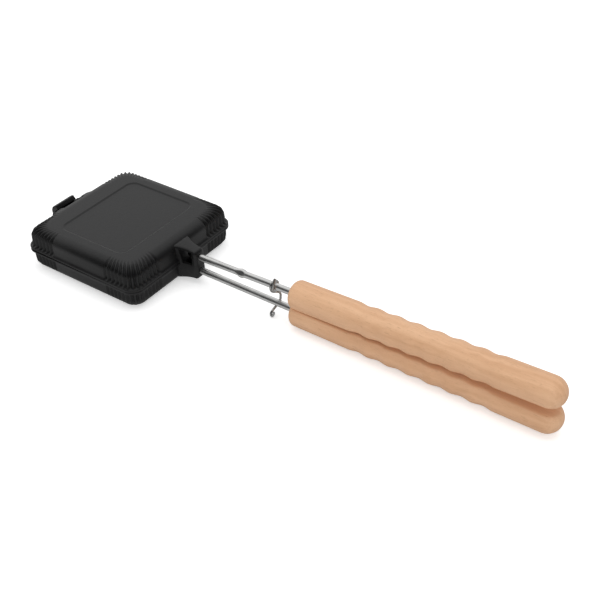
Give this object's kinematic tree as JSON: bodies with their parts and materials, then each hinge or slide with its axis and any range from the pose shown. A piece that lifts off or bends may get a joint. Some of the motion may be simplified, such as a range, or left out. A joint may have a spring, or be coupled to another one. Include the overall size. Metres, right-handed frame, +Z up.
{
  "type": "sandwich iron",
  "caption": "Hinged cast iron sandwich iron for a camp fire: two square fluted shells on steel rods with turned wooden handles, held shut by a wire latch.",
  "frame": {"origin": "centre of the flat base of the lower shell, on the surface that the iron stands on", "axes": "+X from the shells along the rods to the handles, +Z up through both shells, +Y across the hinge"},
  "size_m": [0.5387, 0.14, 0.0527],
  "materials": {
    "cast_iron": "seasoned black, fine cast grain",
    "rod_steel": "bright drawn rod",
    "wire_steel": "drawn wire",
    "nut_steel": "plain steel",
    "handle_wood": "sanded bare hardwood"
  },
  "bodies": {
    "lower_half": {"lower_shell": "cast_iron", "lower_rod": "rod_steel", "lower_rod_nut": "nut_steel", "lower_handle": "handle_wood"},
    "upper_half": {"upper_shell": "cast_iron", "upper_rod": "rod_steel", "upper_rod_nut": "nut_steel", "upper_handle": "handle_wood"},
    "latch": {"latch": "wire_steel"}
  },
  "joints": [
    {"name": "hinge", "type": "hinge", "parent": "lower_half", "child": "upper_half", "pos_m": [-0.0864, 0, 0.0211], "axis": [0, -1, 0], "range_deg": [0, 115]},
    {"name": "latch_swing", "type": "hinge", "parent": "upper_half", "child": "latch", "pos_m": [0.17295, 0, 0.03145], "axis": [0.9995, 0, 0.0311], "range_deg": [0, 300]}
  ]
}
